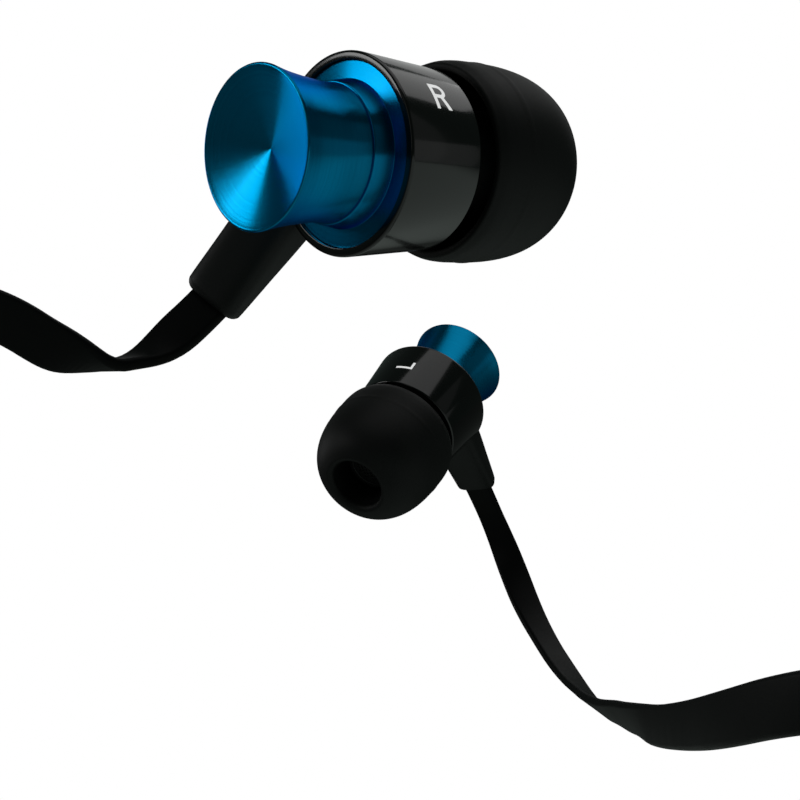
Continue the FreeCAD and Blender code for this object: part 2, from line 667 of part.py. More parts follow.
# ---- cord routes, hand-chosen --------------------------------------------------------------------
RIGHT_ROUTE = [
    V(-22.9, -5.7, -11.5), V(-26.0, -7.1, -13.2), V(-29.0, -9.9, -12.2), V(-32.0, -13.0, -10.0),
    V(-35.3, -16.0, -9.2), V(-39.2, -18.0, -10.2), V(-42.4, -19.2, -13.8), V(-44.6, -19.4, -19.4),
    V(-46.2, -18.6, -26.0), V(-47.6, -16.8, -33.2), V(-48.8, -14.0, -40.6), V(-49.6, -9.8, -47.8),
    V(-50.2, -4.2, -54.0), V(-50.4, 2.6, -58.6), V(-50.4, 10.0, -60.9), V(-50.3, 16.6, -61.2),
    V(-50.0, 21.8, -61.0)]
LEFT_ROUTE = [
    V(0.5, 87.2, -26.0), V(2.1, 88.6, -29.6), V(3.6, 87.2, -33.6), V(5.0, 83.2, -37.4),
    V(6.7, 76.9, -40.6), V(8.3, 68.6, -42.8), V(9.0, 59.4, -43.2), V(9.3, 47.4, -42.3),
    V(9.8, 32.0, -41.0), V(9.6, 13.4, -38.5), V(8.6, -9.6, -34.5), V(8.0, -25.6, -31.5),
    V(9.5, -34.6, -29.5), V(11.7, -40.0, -29.6), V(12.9, -44.6, -31.8),
    V(13.9, -47.6, -35.2), V(14.9, -49.4, -40.8), V(15.9, -48.8, -47.0), V(16.9, -45.6, -52.6),
    V(17.6, -40.2, -57.0), V(18.0, -33.4, -59.8), V(18.1, -25.4, -60.9)]
LEFT_TAIL = [
    V(18.1, 4.4, -58.1), V(18.3, 10.8, -58.6), V(18.3, 16.8, -59.1), V(18.0, 21.8, -59.4)]
MODULE_TURN = [(10.4, -6.0), (7.8, -2.7), (4.2, -0.6), (0.0, 0.0)]   # last bend, from the grommet's mouth
MODULE_SAG = 0.1            # how much lower each point of that bend lies than the next


def module_approach(side):
    """Last points of a cord, which swing it round into a grommet."""
    mouth = MODULE_CENTRE + V(side * (MODULE_L / 2 + GROMMET_L), 0, CORD_EXIT_Z)
    last = len(MODULE_TURN) - 1
    return [mouth + V(side * out, y, -MODULE_SAG * (last - index))
            for index, (out, y) in enumerate(MODULE_TURN)]


def coil_gate(side, level):
    """Where a run that is tangent to the coil's mean circle meets its outer face."""
    reach = math.sqrt((COIL_R + COIL_THICK / 2) ** 2 - COIL_R ** 2)
    return COIL_CENTRE + V(COIL_R, side * reach, COIL_LIFT + level)


# ---- assembly ------------------------------------------------------------------------------------
EARBUD_PIECES = {
    "flared_stem": flared_stem, "back_disc": back_disc, "housing": housing, "front_baffle": front_baffle,
    "nozzle_grille": nozzle_grille, "nozzle_damper": nozzle_damper, "driver_board": driver_board,
    "driver_basket": driver_basket, "driver_magnet": driver_magnet, "pole_plate": pole_plate,
    "voice_coil": voice_coil, "diaphragm": diaphragm, "strain_relief": strain_relief, "eartip": eartip}


def earbud(side, centre, angles):
    place = placement(centre, angles)
    pieces = {side + "_" + name: make() for name, make in EARBUD_PIECES.items()}
    if side == "right":
        pieces["right_side_mark"] = side_mark(letter_r(), 1, -172)
    else:
        pieces["left_side_mark"] = side_mark(letter_l(), -1, 170)
    for shape in pieces.values():
        shape.transformShape(place.toMatrix())
    return pieces


def module():
    pieces = {
        "module_base": module_base(), "module_cover": module_cover(), "button_sheet": button_sheet(),
        "circuit_board": circuit_board(), "battery_cell": battery_cell(),
        "charge_socket": charge_socket(), "socket_cover": socket_cover(),
        "microphone_grille": microphone_grille(), "light_pipe": light_pipe(),
        "module_grommet_right": module_grommet(-1), "module_grommet_left": module_grommet(1)}
    for name, spot in zip(("button_down", "button_centre", "button_up"), button_spots()):
        pieces[name] = button(spot)
    for index, spot in enumerate(screw_spots(), 1):
        pieces["module_screw_%d" % index] = module_screw(spot)
    for shape in pieces.values():
        shape.translate(MODULE_CENTRE)
    return pieces


def cords():
    right = placement(RIGHT_CENTRE, RIGHT_ANGLES)
    left = placement(LEFT_CENTRE, LEFT_ANGLES)
    right_start = right.multVec(relief_mouth())
    left_start = left.multVec(relief_mouth())
    low = (RIBBON_W + 0.1) / 2
    high = COIL_H - low
    coil_place = COIL_CENTRE + V(0, 0, COIL_LIFT)
    coil = left_coil()
    coil.translate(coil_place)
    tie = coil_tie()
    tie.translate(coil_place)
    upright = V(0, 0, 1)
    return {
        "right_cord": ribbon([right_start] + RIGHT_ROUTE + module_approach(-1),
                             earbud_axes(*RIGHT_ANGLES)[1], "right_cord"),
        "left_cord": ribbon([left_start] + LEFT_ROUTE + [coil_gate(-1, low)],
                            earbud_axes(*LEFT_ANGLES)[1], "left_cord"),
        "left_cord_tail": ribbon([coil_gate(1, high)] + LEFT_TAIL + module_approach(1),
                                 upright, "left_cord_tail"),
        "left_cord_coil": coil, "coil_tie": tie}


def main():
    os.makedirs("parts", exist_ok=True)
    pieces = {}
    pieces.update(earbud("right", RIGHT_CENTRE, RIGHT_ANGLES))
    pieces.update(earbud("left", LEFT_CENTRE, LEFT_ANGLES))
    pieces.update(module())
    pieces.update(cords())
    for name, shape in pieces.items():
        if not shape.isValid() or len(shape.Solids) != 1:
            print("CHECK", name, "valid", shape.isValid(), "solids", len(shape.Solids))
        shape.exportStep("parts/" + name + ".step")
    print(len(pieces), "nodes")


main()
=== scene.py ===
"""Looks of the neckband earphones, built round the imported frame. Metres, in the frame's own axes."""
import json
import math

import bmesh
import bpy
from mathutils import Matrix, Vector


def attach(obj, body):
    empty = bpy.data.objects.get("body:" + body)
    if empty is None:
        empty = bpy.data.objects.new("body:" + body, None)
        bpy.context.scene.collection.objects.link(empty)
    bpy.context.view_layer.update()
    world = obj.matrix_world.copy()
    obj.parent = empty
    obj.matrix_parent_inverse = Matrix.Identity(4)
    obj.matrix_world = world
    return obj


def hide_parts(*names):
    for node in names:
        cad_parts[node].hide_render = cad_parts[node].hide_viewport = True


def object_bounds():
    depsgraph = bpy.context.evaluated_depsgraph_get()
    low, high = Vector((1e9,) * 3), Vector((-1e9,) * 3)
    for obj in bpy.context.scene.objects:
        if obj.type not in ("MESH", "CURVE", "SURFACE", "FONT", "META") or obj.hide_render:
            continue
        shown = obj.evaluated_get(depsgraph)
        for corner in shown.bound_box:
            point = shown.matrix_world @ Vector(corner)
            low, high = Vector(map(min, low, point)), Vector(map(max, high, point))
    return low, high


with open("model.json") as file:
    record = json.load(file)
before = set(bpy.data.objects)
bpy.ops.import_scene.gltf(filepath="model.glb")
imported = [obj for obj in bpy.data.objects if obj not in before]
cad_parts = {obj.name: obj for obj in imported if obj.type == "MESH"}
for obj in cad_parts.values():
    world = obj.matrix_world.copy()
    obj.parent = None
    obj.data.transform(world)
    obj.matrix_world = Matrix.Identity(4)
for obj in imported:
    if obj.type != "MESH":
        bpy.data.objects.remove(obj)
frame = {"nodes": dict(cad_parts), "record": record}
cad_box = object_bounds()
MM = 0.001

# ---- Camera, floor and lights ------------------------------------------------------------------
# A level, fairly long lens looks along +Y at the two earbuds hanging in the air. The floor and the
# backdrop are plain and pale, and a few large soft boxes shape the dark glossy pieces.
lens = bpy.data.cameras.new("lens")
lens.lens = 90
lens.sensor_width = 36
lens.clip_start = 0.005
lens.clip_end = 10
camera = bpy.data.objects.new("camera", lens)
camera.location = (-8.69 * MM, -129.65 * MM, -15.02 * MM)
camera.rotation_euler = (math.radians(90), 0, 0)
bpy.context.scene.collection.objects.link(camera)
bpy.context.scene.camera = camera
bpy.context.scene.view_settings.view_transform = "Standard"

FLOOR_Z = cad_box[0].z
FLOOR_SIDE, FLOOR_NEAR, FLOOR_FAR = 0.6, -0.6, 0.7
# Reach of the floor's painted contact shadow.
CONTACT_SHADOW_REACH = 14 * MM
GLOW_TONE = (0.87, 1.0, 0.93, 1)
# How strongly the floor glows to other surfaces: axis, its start and end, strength at each.
GLOW_RUNS = (("X", -0.12, 0.01, 0.05, 0.32), ("Y", 0.05, 0.13, 1.0, 0.10))


def keep(name, mesh):
    """Links a finished mesh as an object at the origin."""
    piece = bpy.data.objects.new(name, mesh)
    bpy.context.scene.collection.objects.link(piece)
    return piece


def studio_surface(name, corners):
    """Sheet that looks white, with a painted contact shadow that darkens it close to the object, and glows
    unevenly to other surfaces.
    """
    mesh = bpy.data.meshes.new(name)
    mesh.from_pydata([Vector(c) for c in corners], [], [(0, 1, 2, 3)])
    surface = keep(name, mesh)
    paint = bpy.data.materials.new(name)
    paint.use_nodes = True
    nodes, links = paint.node_tree.nodes, paint.node_tree.links
    nodes.clear()
    out = nodes.new("ShaderNodeOutputMaterial")
    mix = nodes.new("ShaderNodeMixShader")
    seen = nodes.new("ShaderNodeEmission")
    # Painted contact shadow: ambient occlusion darkens the white that the camera sees close to the object.
    painted_contact_shadow = nodes.new("ShaderNodeAmbientOcclusion")
    painted_contact_shadow.inputs["Distance"].default_value = CONTACT_SHADOW_REACH
    links.new(painted_contact_shadow.outputs["Color"], seen.inputs["Color"])
    matte = nodes.new("ShaderNodeEmission")
    matte.inputs["Color"].default_value = GLOW_TONE
    place = nodes.new("ShaderNodeTexCoord")
    parts = nodes.new("ShaderNodeSeparateXYZ")
    links.new(place.outputs["Object"], parts.inputs[0])
    both = nodes.new("ShaderNodeMath")
    both.operation = "MULTIPLY"
    for slot, (axis, begin, end, first, last) in enumerate(GLOW_RUNS):
        fade = nodes.new("ShaderNodeMapRange")
        for label, value in (("From Min", begin), ("From Max", end), ("To Min", first), ("To Max", last)):
            fade.inputs[label].default_value = value
        links.new(parts.outputs[axis], fade.inputs["Value"])
        links.new(fade.outputs["Result"], both.inputs[slot])
    links.new(both.outputs[0], matte.inputs["Strength"])
    path = nodes.new("ShaderNodeLightPath")
    links.new(path.outputs["Is Camera Ray"], mix.inputs["Fac"])
    links.new(matte.outputs[0], mix.inputs[1])
    links.new(seen.outputs[0], mix.inputs[2])
    links.new(mix.outputs[0], out.inputs["Surface"])
    mesh.materials.append(paint)


studio_surface("floor", [(-FLOOR_SIDE, FLOOR_NEAR, FLOOR_Z), (FLOOR_SIDE, FLOOR_NEAR, FLOOR_Z),
                         (FLOOR_SIDE, FLOOR_FAR, FLOOR_Z), (-FLOOR_SIDE, FLOOR_FAR, FLOOR_Z)])

world = bpy.data.worlds.new("studio")
bpy.context.scene.world = world
world.use_nodes = True
air = world.node_tree
air.nodes.clear()
sky_out = air.nodes.new("ShaderNodeOutputWorld")
sky_mix = air.nodes.new("ShaderNodeMixShader")
sky_path = air.nodes.new("ShaderNodeLightPath")
for index, (tone, strength) in enumerate((((0.75, 1.0, 0.9), 0.035), ((1.0, 1.0, 1.0), 1.0))):
    glow = air.nodes.new("ShaderNodeBackground")
    glow.inputs["Color"].default_value = (*tone, 1)
    glow.inputs["Strength"].default_value = strength
    air.links.new(glow.outputs[0], sky_mix.inputs[index + 1])
air.links.new(sky_path.outputs["Is Camera Ray"], sky_mix.inputs["Fac"])
air.links.new(sky_mix.outputs[0], sky_out.inputs["Surface"])


def soft_box(name, place, target, size, power):
    """Rectangular soft box aimed at a point."""
    light = bpy.data.lights.new(name, "AREA")
    light.shape = "RECTANGLE"
    light.size, light.size_y = size
    light.energy = power
    lamp = bpy.data.objects.new(name, light)
    lamp.location = place
    lamp.rotation_mode = "QUATERNION"
    lamp.rotation_quaternion = (Vector(target) - Vector(place)).to_track_quat("-Z", "Y")
    bpy.context.scene.collection.objects.link(lamp)
    lamp.visible_camera = False


LIGHT_TARGET = (0, 0.02, -0.02)
# name, place, size, radiance
LIGHTS = (
    ("left_box", (-0.39, -0.02, 0.11), (0.13, 0.10), 3.4),
    ("top_box", (0.02, -0.02, 0.42), (0.50, 0.40), 0.52),
    ("front_box", (-0.28, -0.34, 0.16), (0.10, 0.30), 0.2),
    ("right_box", (0.40, -0.03, 0.02), (0.22, 0.12), 0.12),
    ("right_card", (0.42, -0.10, 0.12), (0.30, 0.34), 0.06),
    ("rear_left_box", (-0.33, 0.24, 0.02), (0.14, 0.16), 1.3),
    ("high_box", (0.22, 0.22, 0.32), (0.26, 0.16), 0.70),
    ("back_box", (0.10, 0.50, 0.25), (0.50, 0.25), 0.45))
for name, place, size, radiance in LIGHTS:
    soft_box(name, place, LIGHT_TARGET, size, radiance * math.pi * size[0] * size[1])

# ---- Ribbon cords ------------------------------------------------------------------------------
# Flat extruded ribbons of satin black elastomer. One runs from each earbud to the control
# module; the left one puts its spare length away in a small coil, on edge, held by a tie.
RIBBON_W = 3.0 * MM
RIBBON_T = 0.8 * MM


def route_line(name, points):
    """Smooth line through a route's control points, read back as close points."""
    data = bpy.data.curves.new(name + "_route", "CURVE")
    data.dimensions = "3D"
    data.resolution_u = 10
    spline = data.splines.new("NURBS")
    spline.points.add(len(points) - 1)
    for point, place in zip(spline.points, points):
        point.co = (*[c * MM for c in place], 1)
    spline.order_u = 3
    spline.use_endpoint_u = True
    carrier = bpy.data.objects.new(name + "_route", data)
    bpy.context.scene.collection.objects.link(carrier)
    bpy.context.view_layer.update()
    found = bpy.data.meshes.new_from_object(carrier)
    line = [v.co.copy() for v in found.vertices]
    bpy.data.objects.remove(carrier)
    bpy.data.meshes.remove(found)
    return line


def ribbon_outline(width, thick, steps=5):
    """Flat section with rounded edges, as (across, through) pairs."""
    corner = thick * 0.42
    outline = []
    for quarter in range(4):
        sx = 1 if quarter in (0, 3) else -1
        sy = 1 if quarter in (0, 1) else -1
        for step in range(steps + 1):
            turn = math.radians(90 * (quarter + step / steps))
            outline.append((sx * (width / 2 - corner) + corner * math.cos(turn),
                            sy * (thick / 2 - corner) + corner * math.sin(turn)))
    return outline


def laid_ribbon(name, line, facings):
    """Ribbon along a line; facings gives its breadth's direction at shares of its length."""
    shares = [0.0]
    for a, b in zip(line, line[1:]):
        shares.append(shares[-1] + (b - a).length)
    total = shares[-1]
    outline = ribbon_outline(RIBBON_W, RIBBON_T)
    form = bmesh.new()
    uv = form.loops.layers.uv.new("along")
    rings = []
    for index, place in enumerate(line):
        ahead = line[min(index + 1, len(line) - 1)]
        behind = line[max(index - 1, 0)]
        tangent = (ahead - behind).normalized()
        share = shares[index] / total
        for (s0, d0), (s1, d1) in zip(facings, facings[1:]):
            if s0 <= share <= s1 + 1e-9:
                blend = (share - s0) / max(s1 - s0, 1e-9)
                blend = blend * blend * (3 - 2 * blend)
                wish = Vector(d0).normalized().slerp(Vector(d1).normalized(), blend)
        across = (wish - tangent * wish.dot(tangent)).normalized()
        through = tangent.cross(across)
        rings.append([form.verts.new(place + across * u + through * v) for u, v in outline])
    count = len(outline)
    for index, (low, high) in enumerate(zip(rings, rings[1:])):
        for j in range(count):
            k = (j + 1) % count
            face = form.faces.new((low[j], low[k], high[k], high[j]))
            face.smooth = True
            lows, highs = shares[index] / RIBBON_W, shares[index + 1] / RIBBON_W
            for loop, (u, v) in zip(face.loops, ((j, lows), (j + 1, lows), (j + 1, highs), (j, highs))):
                loop[uv].uv = (u / count, v)
    form.faces.new(list(reversed(rings[0])))
    form.faces.new(rings[-1])
    bmesh.ops.recalc_face_normals(form, faces=form.faces)
    mesh = bpy.data.meshes.new(name)
    form.to_mesh(mesh)
    form.free()
    return keep(name, mesh), total


def shader(name, base, roughness, metallic=0.0, **sockets):
    """Material with a Principled shader; sockets gives its other constant values by name."""
    material = bpy.data.materials.new(name)
    material.use_nodes = True
    surface = material.node_tree.nodes["Principled BSDF"]
    surface.inputs["Base Color"].default_value = (*base, 1)
    surface.inputs["Roughness"].default_value = roughness
    surface.inputs["Metallic"].default_value = metallic
    for label, value in sockets.items():
        surface.inputs[label.replace("_", " ")].default_value = value
    return material, material.node_tree, surface


def grain_group():
    """Fine moulded or cast grain: a bump normal and a roughness that drifts over the surface."""
    group = bpy.data.node_groups.new("fine_grain", "ShaderNodeTree")
    face = group.interface
    for label, kind, value in (("Scale", "NodeSocketFloat", 9000.0), ("Depth", "NodeSocketFloat", 0.2),
                               ("Roughness", "NodeSocketFloat", 0.5), ("Drift", "NodeSocketFloat", 0.06)):
        face.new_socket(label, in_out="INPUT", socket_type=kind).default_value = value
    face.new_socket("Roughness", in_out="OUTPUT", socket_type="NodeSocketFloat")
    face.new_socket("Normal", in_out="OUTPUT", socket_type="NodeSocketVector")
    face.new_socket("Patches", in_out="OUTPUT", socket_type="NodeSocketFloat")
    nodes, links = group.nodes, group.links
    given = nodes.new("NodeGroupInput")
    result = nodes.new("NodeGroupOutput")
    place = nodes.new("ShaderNodeTexCoord")
    grain = nodes.new("ShaderNodeTexNoise")
    grain.inputs["Detail"].default_value = 3
    links.new(place.outputs["Object"], grain.inputs["Vector"])
    links.new(given.outputs["Scale"], grain.inputs["Scale"])
    bump = nodes.new("ShaderNodeBump")
    bump.inputs["Distance"].default_value = 0.02 * MM
    links.new(given.outputs["Depth"], bump.inputs["Strength"])
    links.new(grain.outputs["Fac"], bump.inputs["Height"])
    links.new(bump.outputs["Normal"], result.inputs["Normal"])
    patches = nodes.new("ShaderNodeTexNoise")
    patches.inputs["Scale"].default_value = 260
    patches.inputs["Detail"].default_value = 4
    links.new(place.outputs["Object"], patches.inputs["Vector"])
    centred = nodes.new("ShaderNodeMath")
    centred.operation = "SUBTRACT"
    centred.inputs[1].default_value = 0.5
    links.new(patches.outputs["Fac"], centred.inputs[0])
    drift = nodes.new("ShaderNodeMath")
    drift.operation = "MULTIPLY_ADD"
    links.new(centred.outputs[0], drift.inputs[0])
    links.new(given.outputs["Drift"], drift.inputs[1])
    links.new(given.outputs["Roughness"], drift.inputs[2])
    links.new(drift.outputs[0], result.inputs["Roughness"])
    links.new(patches.outputs["Fac"], result.inputs["Patches"])
    return group


FINE_GRAIN = grain_group()


def add_grain(tree, surface, scale, depth, roughness, drift):
    """Places the grain group in a material and joins it to the shader."""
    node = tree.nodes.new("ShaderNodeGroup")
    node.node_tree = FINE_GRAIN
    for label, value in (("Scale", scale), ("Depth", depth), ("Roughness", roughness), ("Drift", drift)):
        node.inputs[label].default_value = value
    tree.links.new(node.outputs["Roughness"], surface.inputs["Roughness"])
    tree.links.new(node.outputs["Normal"], surface.inputs["Normal"])
    return node


def grained(name, base, roughness, grain, metallic=0.0, **sockets):
    """Material whose only detail is the grain group; grain gives its scale, depth and drift."""
    material, tree, surface = shader(name, base, roughness, metallic, **sockets)
    scale, depth, drift = grain
    add_grain(tree, surface, scale, depth, roughness, drift)
    return material


def ribbon_finish():
    """Satin black with faint draw lines left along the ribbon by the extruder's die."""
    material, tree, surface = shader("ribbon_satin", (0.0040, 0.0045, 0.0043), 0.50, Specular_IOR_Level=0.07)
    grain = add_grain(tree, surface, 12000, 0.10, 0.50, 0.10)
    way = tree.nodes.new("ShaderNodeUVMap")
    way.uv_map = "along"
    stretch = tree.nodes.new("ShaderNodeMapping")
    stretch.inputs["Scale"].default_value = (90, 0.02, 1)
    lines = tree.nodes.new("ShaderNodeTexNoise")
    lines.inputs["Scale"].default_value = 1.0
    lines.inputs["Detail"].default_value = 2
    bump = tree.nodes.new("ShaderNodeBump")
    bump.inputs["Distance"].default_value = 0.02 * MM
    bump.inputs["Strength"].default_value = 0.10
    tree.links.new(way.outputs[0], stretch.inputs["Vector"])
    tree.links.new(stretch.outputs[0], lines.inputs["Vector"])
    tree.links.new(lines.outputs["Fac"], bump.inputs["Height"])
    tree.links.new(grain.outputs["Normal"], bump.inputs["Normal"])
    tree.links.new(bump.outputs["Normal"], surface.inputs["Normal"])
    return material


RIBBON_FINISH = ribbon_finish()

RIGHT_ROUTE = [
    (-20.3, -5.8, -8.8), (-22.9, -5.7, -11.5), (-26.0, -7.1, -13.2), (-29.0, -9.9, -12.2),
    (-32.0, -13.0, -10.0), (-35.3, -16.0, -9.2), (-39.2, -18.0, -10.2), (-42.4, -19.2, -13.8),
    (-44.6, -19.4, -19.4), (-46.2, -18.6, -26.0), (-47.6, -16.8, -33.2), (-48.8, -14.0, -40.6),
    (-49.6, -9.8, -47.8), (-50.2, -4.2, -54.0), (-50.4, 2.6, -58.6), (-50.4, 10.0, -60.9),
    (-50.3, 16.6, -61.2), (-50.0, 21.8, -61.0), (-48.6, 26.0, -60.7), (-46.0, 29.3, -60.3),
    (-42.4, 31.4, -59.9), (-38.2, 32.0, -59.7)]
RIGHT_FACING = [
    (0.0, (-0.45, 0.46, 0.77)), (0.02, (-0.45, 0.46, 0.77)), (0.06, (-0.35, 0.92, 0.05)),
    (0.11, (-0.45, 0.15, -0.87)), (0.22, (-0.3, 0.2, -0.9)), (0.30, (0.5, 0.3, -0.8)),
    (0.40, (1, 0, -0.2)), (0.60, (1, 0, 0)),
    (0.78, (0.5, 0, 1)), (0.90, (0, 0, 1)), (1.0, (0, 1, 0.1))]
LEFT_ROUTE = [
    (-0.6, 83.6, -23.8), (0.5, 87.2, -26.0), (2.1, 88.6, -29.6), (3.6, 87.2, -33.6), (5.0, 83.2, -37.4),
    (6.7, 76.9, -40.6), (8.3, 68.6, -42.8), (9.0, 59.4, -43.2), (9.3, 47.4, -42.5), (9.8, 32.0, -40.7),
    (9.6, 13.4, -38.4), (8.6, -9.6, -34.6), (8.0, -25.6, -31.7), (9.5, -34.6, -29.5),
    (11.7, -40.0, -28.3), (13.2, -45.0, -30.8), (13.9, -47.6, -35.2),
    (14.9, -49.4, -40.8), (15.9, -48.8, -47.0), (16.9, -45.6, -52.6), (17.6, -40.2, -57.0),
    (18.0, -33.4, -59.8), (18.1, -25.4, -60.9), (18.0, -16.0, -61.0)]
LEFT_TAIL = [
    (18.0, -1.0, -57.9), (18.1, 4.4, -58.1), (18.3, 10.8, -58.6), (18.3, 16.8, -59.1), (18.0, 21.8, -59.4),
    (16.6, 26.0, -59.6), (14.0, 29.3, -59.7), (10.4, 31.4, -59.7), (6.2, 32.0, -59.7)]
COIL_CENTRE = (2.0, -8.0)
COIL_R = 16.0
COIL_TURNS = 2
COIL_LOW = -61.0
COIL_RISE = 3.1
COIL_STEPS = 14
COIL_UNEVEN = 0.35
COIL_WANDER = 1.7


def coil_points():
    """Points of the turns, laid on edge, climbing evenly and a little uneven in width."""
    steps = COIL_STEPS * COIL_TURNS
    found = []
    for step in range(1, steps):
        turn = 2 * math.pi * COIL_TURNS * step / steps
        radius = COIL_R + COIL_UNEVEN * math.sin(COIL_WANDER * turn)
        share = step / steps
        found.append((COIL_CENTRE[0] + radius * math.cos(turn), COIL_CENTRE[1] + radius * math.sin(turn),
                      COIL_LOW + COIL_RISE * share))
    return found


LEFT_FACING = [
    (0.0, (0.83, -0.56, 0.04)), (0.01, (0.83, -0.56, 0.04)), (0.06, (0.94, 0.25, -0.23)),
    (0.10, (0.70, 0.48, -0.50)), (0.125, (0.55, 0.62, -0.53)), (0.157, (0.40, 0.60, -0.70)),
    (0.20, (0.12, 0.3, -0.95)), (0.25, (0.03, 0.08, -1)), (0.30, (0, 0, -1)),
    (0.34, (0.2, 0, -1)), (0.385, (1, 0, -0.2)), (0.44, (1, 0, 0)),
    (0.49, (0, 0, 1)), (0.96, (0, 0, 1)), (1.0, (0, 1, 0.1))]

for side, points, facing in (("right", RIGHT_ROUTE, RIGHT_FACING),
                             ("left", LEFT_ROUTE + coil_points() + LEFT_TAIL, LEFT_FACING)):
    line = route_line(side, points)
    cord, cord_length = laid_ribbon(side + "_ribbon", line, facing)
    cord.data.materials.append(RIBBON_FINISH)
    nodes = ["right_cord"] if side == "right" else ["left_cord", "left_cord_coil", "left_cord_tail"]
    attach(cord, "set")
    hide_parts(*nodes)

# ---- Earbud shells -----------------------------------------------------------------------------
# Tapered black shells with a piano gloss, moulded and polished, with a rounded rear rim. Every turned
# piece of an earbud shares its axis, which runs from the flared cap to the mouth of the silicone tip.
TIP_FRONT = 16.4
SHELL_R = 6.14
SHELL_FRONT_R = 5.58
SHELL_L = 6.14
CAVITY_R = 4.73
DISC_R = 5.59
DISC_FACE = 0.15
DISC_FALL = 0.12
DISC_BACK = 1.05
ROLL = {"right": 49.9, "left": 3.0}


def earbud_place(side):
    """Matrix from an earbud's own millimetres to the frame: X to the boot, Z along the axis."""
    mount = next(m for m in frame["record"]["mounts"] if m["name"] == side + "_ear")
    axis = Vector(mount["axis"]).normalized()
    centre = Vector(mount["pos_m"]) - axis * (TIP_FRONT * MM)
    down = Vector((0, 0, -1))
    hang = (down - axis * down.dot(axis)).normalized()
    roll = math.radians(ROLL[side])
    toward = hang * math.cos(roll) + axis.cross(hang) * math.sin(roll)
    across = axis.cross(toward)
    turn = Matrix((toward, across, axis)).transposed().to_4x4()
    return Matrix.Translation(centre) @ turn @ Matrix.Scale(MM, 4)


PLACE = {side: earbud_place(side) for side in ("right", "left")}


def softened(corners, radius=0.05, steps=4):
    """Closed (radius, z) outline with every corner rounded; a corner may carry its own radius."""
    found = []
    count = len(corners)
    for index, corner in enumerate(corners):
        here = Vector(corner[:2])
        before = Vector(corners[index - 1][:2])
        after = Vector(corners[(index + 1) % count][:2])
        wish = corner[2] if len(corner) > 2 else radius
        back, ahead = (before - here), (after - here)
        reach = min(wish, 0.45 * back.length, 0.45 * ahead.length)
        if here.x < 1e-6 or reach < 1e-6:
            found.append((here.x, here.y))
            continue
        start = here + back.normalized() * reach
        end = here + ahead.normalized() * reach
        for step in range(steps + 1):
            t = step / steps
            spot = start * (1 - t) ** 2 + here * 2 * t * (1 - t) + end * t ** 2
            found.append((max(spot.x, 0.0), spot.y))
    return found


def turned(name, outline, place, segments=144):
    """Closed solid turned from a closed (radius, z) outline, with u round the axis and v along it."""
    form = bmesh.new()
    uv = form.loops.layers.uv.new("turned")
    rows = []
    run = [0.0]
    for (r0, z0), (r1, z1) in zip(outline, outline[1:] + outline[:1]):
        run.append(run[-1] + math.hypot(r1 - r0, z1 - z0))
    for radius, z in outline:
        if radius < 1e-6:
            rows.append([form.verts.new((0, 0, z))] * segments)
        else:
            rows.append([form.verts.new((radius * math.cos(2 * math.pi * k / segments),
                                         radius * math.sin(2 * math.pi * k / segments), z))
                         for k in range(segments)])
    for index in range(len(outline)):
        low, high = rows[index], rows[(index + 1) % len(outline)]
        for k in range(segments):
            n = (k + 1) % segments
            corners = [(low[k], (k, run[index])), (low[n], (k + 1, run[index])),
                       (high[n], (k + 1, run[index + 1])), (high[k], (k, run[index + 1]))]
            kept = []
            for vert, mark in corners:
                if vert not in [v for v, _ in kept]:
                    kept.append((vert, mark))
            if len(kept) < 3:
                continue
            face = form.faces.new([v for v, _ in kept])
            face.smooth = True
            for loop, (_, mark) in zip(face.loops, kept):
                loop[uv].uv = (mark[0] / segments, mark[1])
    bmesh.ops.recalc_face_normals(form, faces=form.faces)
    mesh = bpy.data.meshes.new(name)
    form.to_mesh(mesh)
    form.free()
    mesh.transform(place)
    mesh.update()
    return keep(name, mesh)


def coat(piece, material):
    """Makes a material the piece's only one."""
    piece.data.materials.clear()
    piece.data.materials.append(material)


def finish_piece(piece, body, material, slot, *nodes):
    """Gives a piece its finish and its body, and hides the CAD nodes that it stands for."""
    coat(piece, material)
    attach(piece, body)
    if nodes:
        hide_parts(*nodes)


# Polished moulding: a clear coat over a gloss that wanders a little, as handled plastic does.
GLOSS_BLACK = grained("gloss_black", (0.003, 0.0035, 0.0032), 0.13, (700, 0.03, 0.10),
                      Specular_IOR_Level=0.5, Coat_Weight=0.35, Coat_Roughness=0.05)
for side in ("right", "left"):
    shell = turned(side + "_shell", softened([
        (DISC_R, 0.0, 0.05), (SHELL_R, 0.0, 0.45), (SHELL_FRONT_R, SHELL_L, 0.18), (CAVITY_R, SHELL_L, 0.08),
        (CAVITY_R, DISC_BACK, 0.02), (DISC_R, DISC_BACK, 0.02)], steps=6), PLACE[side])
    finish_piece(shell, "set", GLOSS_BLACK, "gloss_black", side + "_housing")

# ---- Flared caps and discs ---------------------------------------------------------------------
# Turned aluminium, anodised blue: a flat disc with a raised boss closes the shell, and a flared stem is
# pressed into it. The tool leaves fine rings, so light draws out into rays across the dished face.
BOSS_R = 4.45
BOSS_TOP_R = 4.25
BOSS_END = -1.2
STEM_R = 4.15
STEM_WAIST_R = 4.14
FLARE_R = 4.85
FACE_Z = -6.6
DISH = 1.2
SPIGOT_R = 1.6
SPIGOT_PAST = 0.4
FACE_RIM = 0.22
FACE_FALL = 0.03
DISH_ROWS = 26
TURNED_FINE = 192


